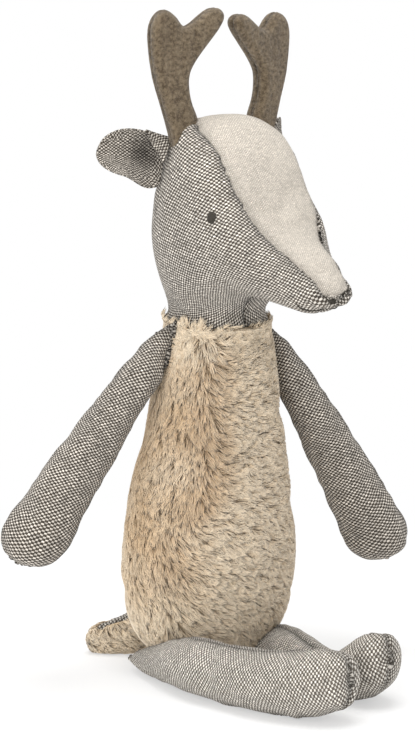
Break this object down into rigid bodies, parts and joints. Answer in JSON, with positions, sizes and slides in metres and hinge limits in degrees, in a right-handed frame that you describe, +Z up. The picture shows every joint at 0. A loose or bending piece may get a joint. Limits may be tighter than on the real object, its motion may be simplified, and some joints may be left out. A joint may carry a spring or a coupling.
{
  "type": "plush deer",
  "caption": "Seated soft toy deer with a furry front, woven limbs that hang from sewn joints, a pale face panel, embroidered face and stuffed felt antlers.",
  "frame": {"origin": "middle of the flat seat panel, on the surface the toy sits on", "axes": "+Z up through the neck, the deer faces -Y, +X is its left side"},
  "size_m": [0.1992, 0.1726, 0.3202],
  "materials": {
    "tweed": "plain weave of dark and pale yarn",
    "linen": "plain pale weave",
    "fur": "short brushed pile",
    "felt": "thick mottled felt",
    "thread": "satin stitch",
    "filling": "fibre filling",
    "lining": "cotton bag of pellets"
  },
  "bodies": {
    "torso": {"pellet_bag": "lining", "seat_base": "tweed", "torso_back_panel": "fur", "torso_filling": "filling", "torso_front_panel": "fur"},
    "head": {"face_blaze": "linen", "head_filling": "filling", "head_left_panel": "tweed", "head_right_panel": "tweed", "left_antler_back": "felt", "left_antler_filling": "filling", "left_antler_front": "felt", "left_eye": "thread", "mouth_embroidery": "thread", "nose_embroidery": "thread", "right_antler_back": "felt", "right_antler_filling": "filling", "right_antler_front": "felt", "right_eye": "thread"},
    "left_arm": {"left_arm_back_panel": "tweed", "left_arm_filling": "filling", "left_arm_front_panel": "tweed"},
    "left_leg": {"left_leg_filling": "filling", "left_leg_inner_panel": "tweed", "left_leg_outer_panel": "tweed"},
    "left_ear": {"left_ear_back": "tweed", "left_ear_front": "tweed"},
    "right_arm": {"right_arm_back_panel": "tweed", "right_arm_filling": "filling", "right_arm_front_panel": "tweed"},
    "right_leg": {"right_leg_filling": "filling", "right_leg_inner_panel": "tweed", "right_leg_outer_panel": "tweed"},
    "right_ear": {"right_ear_back": "tweed", "right_ear_front": "tweed"},
    "tail": {"tail_filling": "filling", "tail_top_panel": "tweed", "tail_under_panel": "fur"}
  },
  "joints": [
    {"name": "neck_turn", "type": "hinge", "parent": "torso", "child": "head", "pos_m": [0, -0.008, 0.17065], "axis": [0, 0, 1], "range_deg": [-25, 25]},
    {"name": "left_shoulder", "type": "hinge", "parent": "torso", "child": "left_arm", "pos_m": [0.0308, -0.00705, 0.15466], "axis": [-0.1968, -0.0653, 0.9783], "range_deg": [-15, 75]},
    {"name": "right_shoulder", "type": "hinge", "parent": "torso", "child": "right_arm", "pos_m": [-0.0292, -0.0075, 0.16152], "axis": [0.2716, -0.0547, 0.9609], "range_deg": [-5, 75]},
    {"name": "left_hip", "type": "hinge", "parent": "torso", "child": "left_leg", "pos_m": [0.02878, 0.0138, 0.00745], "axis": [1, 0, 0], "range_deg": [0, 90]},
    {"name": "right_hip", "type": "hinge", "parent": "torso", "child": "right_leg", "pos_m": [-0.02925, 0.01379, 0.00767], "axis": [1, 0, 0], "range_deg": [0, 90]},
    {"name": "left_ear_flap", "type": "hinge", "parent": "head", "child": "left_ear", "pos_m": [0.03147, -0.00352, 0.24799], "axis": [-0.2313, 0.0314, 0.9724], "range_deg": [-25, 25]},
    {"name": "right_ear_flap", "type": "hinge", "parent": "head", "child": "right_ear", "pos_m": [-0.03147, -0.00352, 0.24799], "axis": [0.2313, 0.0314, 0.9724], "range_deg": [-25, 25]},
    {"name": "tail_lift", "type": "hinge", "parent": "torso", "child": "tail", "pos_m": [-0.00834, 0.02518, 0.02112], "axis": [1, 0, 0], "range_deg": [0, 25]}
  ]
}
